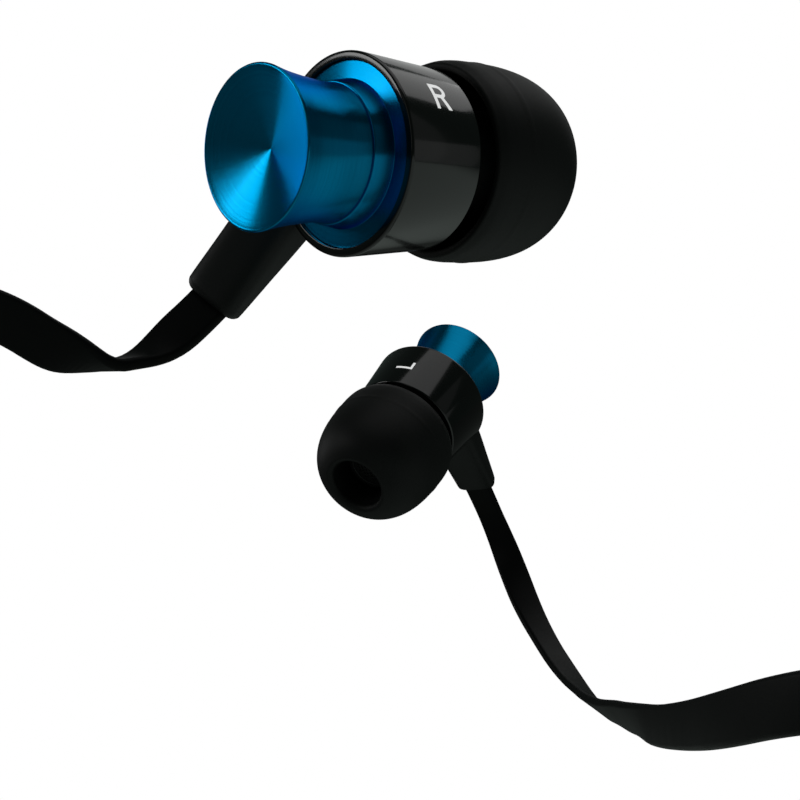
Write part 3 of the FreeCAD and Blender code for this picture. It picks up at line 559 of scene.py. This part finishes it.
def spun_group():
    """Lathe rings from a turned piece's own map: a normal, a roughness and a tone that change with v."""
    group = bpy.data.node_groups.new("spun_rings", "ShaderNodeTree")
    face = group.interface
    for label, value in (("Rings per mm", 9.0), ("Depth", 0.3), ("Roughness", 0.25), ("Drift", 0.08)):
        face.new_socket(label, in_out="INPUT", socket_type="NodeSocketFloat").default_value = value
    face.new_socket("Tone", in_out="OUTPUT", socket_type="NodeSocketFloat")
    face.new_socket("Roughness", in_out="OUTPUT", socket_type="NodeSocketFloat")
    face.new_socket("Normal", in_out="OUTPUT", socket_type="NodeSocketVector")
    nodes, links = group.nodes, group.links
    given = nodes.new("NodeGroupInput")
    result = nodes.new("NodeGroupOutput")
    way = nodes.new("ShaderNodeUVMap")
    way.uv_map = "turned"
    parts = nodes.new("ShaderNodeSeparateXYZ")
    links.new(way.outputs[0], parts.inputs[0])
    scaled = nodes.new("ShaderNodeMath")
    scaled.operation = "MULTIPLY"
    links.new(parts.outputs["Y"], scaled.inputs[0])
    links.new(given.outputs["Rings per mm"], scaled.inputs[1])
    joined = nodes.new("ShaderNodeCombineXYZ")
    links.new(scaled.outputs[0], joined.inputs["Y"])
    rings = nodes.new("ShaderNodeTexNoise")
    rings.inputs["Scale"].default_value = 1.0
    rings.inputs["Detail"].default_value = 5
    rings.inputs["Roughness"].default_value = 0.65
    links.new(joined.outputs[0], rings.inputs["Vector"])
    bump = nodes.new("ShaderNodeBump")
    bump.inputs["Distance"].default_value = 0.01 * MM
    links.new(given.outputs["Depth"], bump.inputs["Strength"])
    links.new(rings.outputs["Fac"], bump.inputs["Height"])
    links.new(bump.outputs["Normal"], result.inputs["Normal"])
    links.new(rings.outputs["Fac"], result.inputs["Tone"])
    centred = nodes.new("ShaderNodeMath")
    centred.operation = "SUBTRACT"
    centred.inputs[1].default_value = 0.5
    links.new(rings.outputs["Fac"], centred.inputs[0])
    drift = nodes.new("ShaderNodeMath")
    drift.operation = "MULTIPLY_ADD"
    links.new(centred.outputs[0], drift.inputs[0])
    links.new(given.outputs["Drift"], drift.inputs[1])
    links.new(given.outputs["Roughness"], drift.inputs[2])
    links.new(drift.outputs[0], result.inputs["Roughness"])
    return group


SPUN_RINGS = spun_group()


def anodised_finish(name, low, high, rings, depth, roughness, anisotropy):
    """Blue anodised metal: two close tones along the rings and an anisotropic gleam across them."""
    material, tree, surface = shader(name, high, roughness, 1.0, Anisotropic=anisotropy,
                                     Anisotropic_Rotation=0.25, Specular_Tint=(0.10, 0.30, 0.95, 1))
    spun = tree.nodes.new("ShaderNodeGroup")
    spun.node_tree = SPUN_RINGS
    spun.inputs["Rings per mm"].default_value = rings
    spun.inputs["Depth"].default_value = depth
    spun.inputs["Roughness"].default_value = roughness
    way = tree.nodes.new("ShaderNodeTangent")
    way.direction_type = "UV_MAP"
    way.uv_map = "turned"
    ramp = tree.nodes.new("ShaderNodeValToRGB")
    ramp.color_ramp.elements[0].position = 0.3
    ramp.color_ramp.elements[0].color = (*low, 1)
    ramp.color_ramp.elements[1].position = 0.7
    ramp.color_ramp.elements[1].color = (*high, 1)
    tree.links.new(spun.outputs["Tone"], ramp.inputs["Fac"])
    tree.links.new(ramp.outputs["Color"], surface.inputs["Base Color"])
    tree.links.new(spun.outputs["Roughness"], surface.inputs["Roughness"])
    tree.links.new(spun.outputs["Normal"], surface.inputs["Normal"])
    tree.links.new(way.outputs[0], surface.inputs["Tangent"])
    return material


SPUN_BLUE = anodised_finish("spun_blue", (0.003, 0.24, 0.50), (0.005, 0.36, 0.66), 7.0, 0.35, 0.25, 0.88)
DISC_BLUE = anodised_finish("disc_blue", (0.002, 0.23, 0.50), (0.004, 0.28, 0.56), 4.0, 0.10, 0.24, 0.85)


def through(points, steps=6):
    """Smooth run of (radius, z) points through the given ones."""
    padded = [points[0]] + list(points) + [points[-1]]
    found = []
    for a, b, c, d in zip(padded, padded[1:], padded[2:], padded[3:]):
        for step in range(steps):
            t = step / steps
            found.append(tuple(0.5 * (2 * q + (r - p) * t + (2 * p - 5 * q + 4 * r - s) * t ** 2
                                      + (3 * q - p - 3 * r + s) * t ** 3)
                               for p, q, r, s in zip(a, b, c, d)))
    found.append(points[-1])
    return found


stem_length = BOSS_END - FACE_Z
flank = through([(STEM_R, BOSS_END), (STEM_WAIST_R, BOSS_END - 0.2 * stem_length),
                 (STEM_WAIST_R + 0.15, BOSS_END - 0.45 * stem_length),
                 (STEM_WAIST_R + 0.41, BOSS_END - 0.75 * stem_length),
                 (FLARE_R - 0.03, FACE_Z + 0.22), (FLARE_R, FACE_Z + 0.12)])
flare_lip = [(FLARE_R - 0.02, FACE_Z + 0.05), (FLARE_R - 0.07, FACE_Z), (FLARE_R - 0.16, FACE_Z),
             (FLARE_R - FACE_RIM, FACE_Z + FACE_FALL)]
dish = [((FLARE_R - FACE_RIM) * (1 - k / DISH_ROWS),
         FACE_Z + FACE_FALL + (DISH - FACE_FALL) * (k / DISH_ROWS) ** 0.92) for k in range(1, DISH_ROWS + 1)]
for side in ("right", "left"):
    stem = turned(side + "_flared_cap", flank + flare_lip + dish + [
        (0.0, DISC_BACK + SPIGOT_PAST), (SPIGOT_R, DISC_BACK + SPIGOT_PAST), (SPIGOT_R, BOSS_END)],
        PLACE[side], TURNED_FINE)
    finish_piece(stem, "set", SPUN_BLUE, "anodised_blue", side + "_flared_stem")
    disc = turned(side + "_disc", softened([
        (SPIGOT_R, BOSS_END), (BOSS_TOP_R, BOSS_END, 0.1), (BOSS_R, DISC_FACE, 0.03),
        (DISC_R - 0.02, DISC_FACE + DISC_FALL, 0.05), (DISC_R - 0.02, DISC_BACK), (SPIGOT_R, DISC_BACK)]),
        PLACE[side], TURNED_FINE)
    finish_piece(disc, "set", DISC_BLUE, "anodised_blue", side + "_back_disc")

# ---- Front plugs and nozzles -------------------------------------------------------------------
# One satin black moulding closes the shell's front and carries the sound nozzle, whose lip holds the
# tip. A thin steel disc, pierced with fine holes, sits in its mouth, coloured near black as painted shade
# for the deep bore.
NECK_R = 4.4
NECK_END = 6.89
NOZZLE_R = 2.5
NOZZLE_END = 13.2
NOZZLE_BORE = 1.75
GRILLE_SEAT = 0.25
GRILLE_T = 0.15
GRILLE_CELLS = 8
NECK_BLACK = grained("neck_black", (0.012, 0.012, 0.012), 0.4, (9000, 0.15, 0.1))
FINE_STEEL = grained("fine_steel", (0.42, 0.42, 0.43), 0.32, (6000, 0.08, 0.15), 1.0)
# Near-black steel for the grille: painted shade standing in for the dark inside of the nozzle's bore.
BORE_SHADE_STEEL = grained("bore_shade_steel", (0.006, 0.006, 0.006), 0.55, (6000, 0.08, 0.1))


def pierced_disc_tree():
    """Geometry nodes: a round plate cut by a square grid of round holes that stops short of its rim."""
    tree = bpy.data.node_groups.new("pierced_disc", "GeometryNodeTree")
    face = tree.interface
    face.new_socket("Geometry", in_out="OUTPUT", socket_type="NodeSocketGeometry")
    for label, value in (("Radius", 1.9), ("Pitch", 0.36), ("Hole Radius", 0.11), ("Thickness", 0.15)):
        face.new_socket(label, in_out="INPUT", socket_type="NodeSocketFloat").default_value = value
    face.new_socket("Finish", in_out="INPUT", socket_type="NodeSocketMaterial")
    nodes, links = tree.nodes, tree.links
    given = nodes.new("NodeGroupInput")
    result = nodes.new("NodeGroupOutput")
    plate = nodes.new("GeometryNodeMeshCylinder")
    plate.inputs["Vertices"].default_value = 64
    links.new(given.outputs["Radius"], plate.inputs["Radius"])
    links.new(given.outputs["Thickness"], plate.inputs["Depth"])
    grid = nodes.new("GeometryNodeMeshGrid")
    width = nodes.new("ShaderNodeMath")
    width.operation = "MULTIPLY"
    width.inputs[1].default_value = GRILLE_CELLS
    links.new(given.outputs["Pitch"], width.inputs[0])
    for label in ("Size X", "Size Y"):
        links.new(width.outputs[0], grid.inputs[label])
    for label in ("Vertices X", "Vertices Y"):
        grid.inputs[label].default_value = GRILLE_CELLS + 1
    place = nodes.new("GeometryNodeInputPosition")
    reach = nodes.new("ShaderNodeVectorMath")
    reach.operation = "LENGTH"
    links.new(place.outputs[0], reach.inputs[0])
    rim = nodes.new("ShaderNodeMath")
    rim.operation = "SUBTRACT"
    links.new(given.outputs["Radius"], rim.inputs[0])
    links.new(given.outputs["Pitch"], rim.inputs[1])
    inside = nodes.new("FunctionNodeCompare")
    inside.operation = "LESS_THAN"
    links.new(reach.outputs["Value"], inside.inputs["A"])
    links.new(rim.outputs[0], inside.inputs["B"])
    spots = nodes.new("GeometryNodeMeshToPoints")
    links.new(grid.outputs["Mesh"], spots.inputs["Mesh"])
    links.new(inside.outputs["Result"], spots.inputs["Selection"])
    drill = nodes.new("GeometryNodeMeshCylinder")
    drill.inputs["Vertices"].default_value = 12
    drill.inputs["Depth"].default_value = 1.0
    links.new(given.outputs["Hole Radius"], drill.inputs["Radius"])
    drills = nodes.new("GeometryNodeInstanceOnPoints")
    links.new(spots.outputs["Points"], drills.inputs["Points"])
    links.new(drill.outputs["Mesh"], drills.inputs["Instance"])
    cut = nodes.new("GeometryNodeMeshBoolean")
    cut.operation = "DIFFERENCE"
    links.new(plate.outputs["Mesh"], cut.inputs["Mesh 1"])
    links.new(drills.outputs["Instances"], cut.inputs["Mesh 2"])
    real = nodes.new("GeometryNodeRealizeInstances")
    links.new(cut.outputs["Mesh"], real.inputs[0])
    painted = nodes.new("GeometryNodeSetMaterial")
    links.new(real.outputs[0], painted.inputs["Geometry"])
    links.new(given.outputs["Finish"], painted.inputs["Material"])
    links.new(painted.outputs[0], result.inputs[0])
    return tree


def grown(name, tree, place, **inputs):
    """Plain mesh made by a geometry node tree with these inputs, then put in place."""
    seed = keep(name + "_seed", bpy.data.meshes.new(name + "_seed"))
    maker = seed.modifiers.new("grow", "NODES")
    maker.node_group = tree
    sockets = {s.name: s.identifier for s in tree.interface.items_tree if s.in_out == "INPUT"}
    for label, value in inputs.items():
        maker[sockets[label.replace("_", " ")]] = value
    bpy.context.view_layer.update()
    result = seed.evaluated_get(bpy.context.evaluated_depsgraph_get())
    mesh = bpy.data.meshes.new_from_object(result)
    mesh.name = name
    bpy.data.objects.remove(seed)
    mesh.transform(place)
    return keep(name, mesh)


PIERCED_DISC = pierced_disc_tree()
for side in ("right", "left"):
    plug = turned(side + "_nozzle", softened([
        (NOZZLE_BORE, 5.9), (4.1, 5.5), (4.1, 5.0), (4.7, 5.0), (4.7, SHELL_L), (NECK_R, SHELL_L),
        (NECK_R, NECK_END, 0.15), (NOZZLE_R, NECK_END), (NOZZLE_R, NECK_END + 0.8),
        (NOZZLE_R - 0.2, NECK_END + 1.0),
        (NOZZLE_R - 0.2, NOZZLE_END - 1.1), (NOZZLE_R, NOZZLE_END - 0.9), (NOZZLE_R, NOZZLE_END, 0.2),
        (NOZZLE_BORE + 0.2, NOZZLE_END, 0.1), (NOZZLE_BORE + 0.2, NOZZLE_END - GRILLE_SEAT),
        (NOZZLE_BORE, NOZZLE_END - GRILLE_SEAT)]), PLACE[side], 96)
    finish_piece(plug, "set", NECK_BLACK, "neck_black", side + "_front_baffle")
    seat = PLACE[side] @ Matrix.Translation((0, 0, NOZZLE_END - GRILLE_SEAT + GRILLE_T / 2))
    grille = grown(side + "_grille", PIERCED_DISC, seat, Radius=NOZZLE_BORE + 0.18, Pitch=0.36,
                   Hole_Radius=0.11, Thickness=GRILLE_T, Finish=BORE_SHADE_STEEL)
    finish_piece(grille, "set", BORE_SHADE_STEEL, "steel", side + "_nozzle_grille")

# ---- Silicone tips -----------------------------------------------------------------------------
# Soft black silicone mushrooms, moulded in one: a domed skirt folds back from a rounded mouth, and a
# straight core inside slips over the nozzle. A faint parting ring runs round the skirt.
TIP_R = 6.25
TIP_SKIRT_R = 6.03
TIP_REAR = 7.23
TIP_WIDEST = 8.6
TIP_MOUTH_R = 2.6
TIP_THROAT_R = 2.3
TIP_NOSE = 0.55
TIP_FULLNESS = 3.0
TIP_SKIN = 0.5
CORE_R = 2.56
CORE_WALL = 0.75
CORE_END = 13.6
CORE_LIP = 2.6
DOME_ROWS = 40
DOME_SHARE = 0.975
RING_Z = 10.0
RING_PROUD = 0.035
RING_SPREAD = 0.07


def dome(share, skin=0.0):
    """Point on the dome at a share of its height past the widest ring."""
    nose_share = (1 - ((TIP_MOUTH_R + TIP_NOSE) / TIP_R) ** TIP_FULLNESS) ** (1 / TIP_FULLNESS)
    height = (TIP_FRONT - TIP_WIDEST) / nose_share
    fullness = (1 - share ** TIP_FULLNESS) ** (1 / TIP_FULLNESS)
    return (TIP_R * fullness - skin, TIP_WIDEST + height * share)


def silicone_finish():
    """Matte silicone: a fine satin grain over a tone that drifts in soft patches."""
    material, tree, surface = shader("tip_silicone", (0.005, 0.005, 0.005), 0.6, Specular_IOR_Level=0.22)
    grain = add_grain(tree, surface, 5200, 0.18, 0.55, 0.14)
    ramp = tree.nodes.new("ShaderNodeValToRGB")
    ramp.color_ramp.elements[0].position = 0.35
    ramp.color_ramp.elements[0].color = (0.0035, 0.0042, 0.0040, 1)
    ramp.color_ramp.elements[1].position = 0.75
    ramp.color_ramp.elements[1].color = (0.0060, 0.0070, 0.0066, 1)
    tree.links.new(grain.outputs["Patches"], ramp.inputs["Fac"])
    tree.links.new(ramp.outputs["Color"], surface.inputs["Base Color"])
    return material


SILICONE = silicone_finish()
nose_r = TIP_MOUTH_R + TIP_NOSE
fold = TIP_FRONT - CORE_LIP
core_out = CORE_R + CORE_WALL
hem_r = TIP_SKIRT_R - TIP_SKIN
skirt_out = through([(TIP_SKIRT_R, TIP_REAR + 0.15), (TIP_R - 0.06, TIP_WIDEST - 0.7),
                     (TIP_R, TIP_WIDEST)], 5)
dome_rows = []
for step in range(1, DOME_ROWS):
    r, z = dome(DOME_SHARE * step / DOME_ROWS)
    dome_rows.append((r + RING_PROUD * math.exp(-((z - RING_Z) / RING_SPREAD) ** 2), z))
nose = [(nose_r + (TIP_MOUTH_R - nose_r) * math.sin(math.radians(a)),
         TIP_FRONT - TIP_NOSE * (1 - math.cos(math.radians(a)))) for a in range(0, 91, 10)]
mouth = [(TIP_MOUTH_R - 0.06, TIP_FRONT - 1.2), (TIP_THROAT_R, CORE_END + 0.1), (CORE_R, CORE_END),
         (CORE_R, NECK_END + 0.15), (core_out, NECK_END + 0.12)]
under = through([(core_out, fold - 0.9), (core_out + 0.5, fold - 0.1), (core_out + 1.3, fold - 0.7),
                 dome(0.35, TIP_SKIN + 0.1), (TIP_R - TIP_SKIN, TIP_WIDEST), (hem_r, TIP_REAR + 0.12)], 6)
hem = [(hem_r + 0.12, TIP_REAR), (TIP_SKIRT_R - 0.14, TIP_REAR), (TIP_SKIRT_R - 0.03, TIP_REAR + 0.05)]
for side in ("right", "left"):
    tip = turned(side + "_tip", skirt_out + dome_rows + nose + mouth + under + hem, PLACE[side], 128)
    finish_piece(tip, side + "_eartip", SILICONE, "tip_silicone", side + "_eartip")

# ---- Strain-relief boots -----------------------------------------------------------------------
# Moulded rubber boots, wide where they are bonded to the shell and tapering to a narrow mouth that grips
# the ribbon. They lean back towards the cap, with a small rounded lip at the mouth.
BOOT_Z = (0.1, 3.0)
BOOT_HALF_W = 2.6
BOOT_ROLL = 33.0
BOOT_MOUTH = (12.75, -0.4, -2.9)
BOOT_MOUTH_HALF = (2.0, 0.95)
BOOT_TWIST = -11.0
BOOT_LIP = 0.6
BOOT_WAIST = 0.18
BOOT_ROWS = 24
BOOT_SEGMENTS = 48
BOOT_RUBBER = grained("boot_rubber", (0.005, 0.006, 0.0055), 0.5, (7000, 0.25, 0.12), Specular_IOR_Level=0.3)


def boot_mesh(name, place):
    """Rows of rounded rectangles from the shell's wall to a rounded lip at the mouth, with closed ends."""
    roll = math.radians(BOOT_ROLL)
    outward = Vector((math.cos(roll), math.sin(roll), 0))
    seat = outward * CAVITY_R + Vector((0, 0, sum(BOOT_Z) / 2))
    mouth = Vector(BOOT_MOUTH)
    lean = (mouth - seat).normalized()
    seat_across = Vector((-math.sin(roll), math.cos(roll), 0))
    across = (Vector((0, 1, 0)) - lean * lean.y).normalized()
    across = Matrix.Rotation(math.radians(BOOT_TWIST), 3, lean) @ across
    seat_up = Vector((0, 0, 1))
    up = lean.cross(across).normalized()
    form = bmesh.new()
    rows = []
    total = (mouth - seat).length
    shares = [k / BOOT_ROWS for k in range(BOOT_ROWS)]
    shares += [1 - BOOT_LIP / total * (1 - math.sin(math.radians(a))) for a in range(10, 91, 16)]
    for share in sorted(shares):
        bent = share ** 1.15
        wide = BOOT_HALF_W + (BOOT_MOUTH_HALF[0] - BOOT_HALF_W) * bent
        wide -= BOOT_WAIST * math.sin(math.pi * share)
        deep = (BOOT_Z[1] - BOOT_Z[0]) / 2
        deep += (BOOT_MOUTH_HALF[1] - deep) * bent
        left = max(0.0, 1 - (1 - share) * total / BOOT_LIP)
        tuck = BOOT_LIP * (1 - math.sqrt(max(0.0, 1 - left * left)))
        a_dir = seat_across.lerp(across, share).normalized()
        b_dir = seat_up.lerp(up, share).normalized()
        centre = seat.lerp(mouth, share)
        square = 5 - 1.6 * share
        row = []
        for k in range(BOOT_SEGMENTS):
            turn = 2 * math.pi * k / BOOT_SEGMENTS
            c, s = math.cos(turn), math.sin(turn)
            swell = (abs(c) ** square + abs(s) ** square) ** (-1 / square)
            row.append(form.verts.new(centre + a_dir * ((wide - tuck) * c * swell)
                                      + b_dir * ((deep - tuck) * s * swell)))
        rows.append(row)
    for low, high in zip(rows, rows[1:]):
        for k in range(BOOT_SEGMENTS):
            n = (k + 1) % BOOT_SEGMENTS
            face = form.faces.new((low[k], low[n], high[n], high[k]))
            face.smooth = True
    form.faces.new(rows[0])
    form.faces.new(rows[-1])
    bmesh.ops.recalc_face_normals(form, faces=form.faces)
    mesh = bpy.data.meshes.new(name)
    form.to_mesh(mesh)
    form.free()
    mesh.transform(place)
    return keep(name, mesh)


for side in ("right", "left"):
    boot = boot_mesh(side + "_boot", PLACE[side])
    finish_piece(boot, "set", BOOT_RUBBER, "boot_rubber", side + "_strain_relief")

# ---- Side marks --------------------------------------------------------------------------------
# A plain white R and L, pad-printed on the shells opposite the boots. The ink glows a little, so that
# the letters read as white on the dark gloss.
WHITE_INK = grained("white_ink", (0.85, 0.86, 0.86), 0.5, (15000, 0.1, 0.1),
                    Emission_Color=(1.0, 1.0, 1.0, 1), Emission_Strength=0.55)
for side in ("right", "left"):
    coat(frame["nodes"][side + "_side_mark"], WHITE_INK)

# ---- Inner parts -------------------------------------------------------------------------------
# Drivers, boards and the battery are closed in by the shells; each keeps its own plain factory finish.
# Their shapes are the frame's own.
INNER = {
    "nozzle_damper": ((0.03, 0.03, 0.03), 0.9, 0.0), "driver_board": ((0.01, 0.07, 0.03), 0.45, 0.0),
    "driver_basket": ((0.03, 0.03, 0.03), 0.5, 0.0), "driver_magnet": ((0.55, 0.54, 0.5), 0.3, 1.0),
    "pole_plate": ((0.5, 0.5, 0.5), 0.35, 1.0), "voice_coil": ((0.55, 0.22, 0.09), 0.35, 1.0),
    "diaphragm": ((0.30, 0.24, 0.12), 0.4, 0.0), "circuit_board": ((0.01, 0.07, 0.03), 0.45, 0.0),
    "battery_cell": ((0.6, 0.6, 0.62), 0.35, 1.0), "button_sheet": ((0.25, 0.25, 0.26), 0.6, 0.0)}
for label, (tone, rough, metal) in INNER.items():
    finish = grained(label + "_finish", tone, rough, (4000, 0.2, 0.15), metal)
    for name, node in frame["nodes"].items():
        if name in (label, "right_" + label, "left_" + label):
            coat(node, finish)

# ---- Control module ----------------------------------------------------------------------------
# A soft-touch plastic bar in two halves, held by two small screws, with the battery and the board inside.
# Three glossy keys stand in its cover, and a rubber flap hinges over the charging socket in its side.
SOFT_TOUCH = grained("soft_touch", (0.013, 0.013, 0.014), 0.48, (9000, 0.3, 0.1))
KEY_GLOSS = grained("key_gloss", (0.010, 0.010, 0.011), 0.22, (900, 0.05, 0.08), Coat_Weight=0.2)
LIGHT_WINDOW = grained("light_window", (0.75, 0.8, 0.85), 0.15, (900, 0.02, 0.05))
MODULE_FINISH = {
    "module_base": SOFT_TOUCH, "module_cover": SOFT_TOUCH, "button_down": KEY_GLOSS,
    "button_centre": KEY_GLOSS, "button_up": KEY_GLOSS, "charge_socket": FINE_STEEL,
    "microphone_grille": FINE_STEEL, "light_pipe": LIGHT_WINDOW, "module_screw_1": FINE_STEEL,
    "module_screw_2": FINE_STEEL, "socket_cover": BOOT_RUBBER, "module_grommet_right": BOOT_RUBBER,
    "module_grommet_left": BOOT_RUBBER}
for name, finish in MODULE_FINISH.items():
    coat(frame["nodes"][name], finish)

# ---- Coil tie ----------------------------------------------------------------------------------
# A short strap round the coiled turns, of coarse dark cloth with a slight nap. Its shape is the
# frame's own.
TIE_CLOTH = grained("tie_cloth", (0.02, 0.02, 0.022), 0.85, (3000, 0.8, 0.1), Sheen_Weight=0.3)
coat(frame["nodes"]["coil_tie"], TIE_CLOTH)
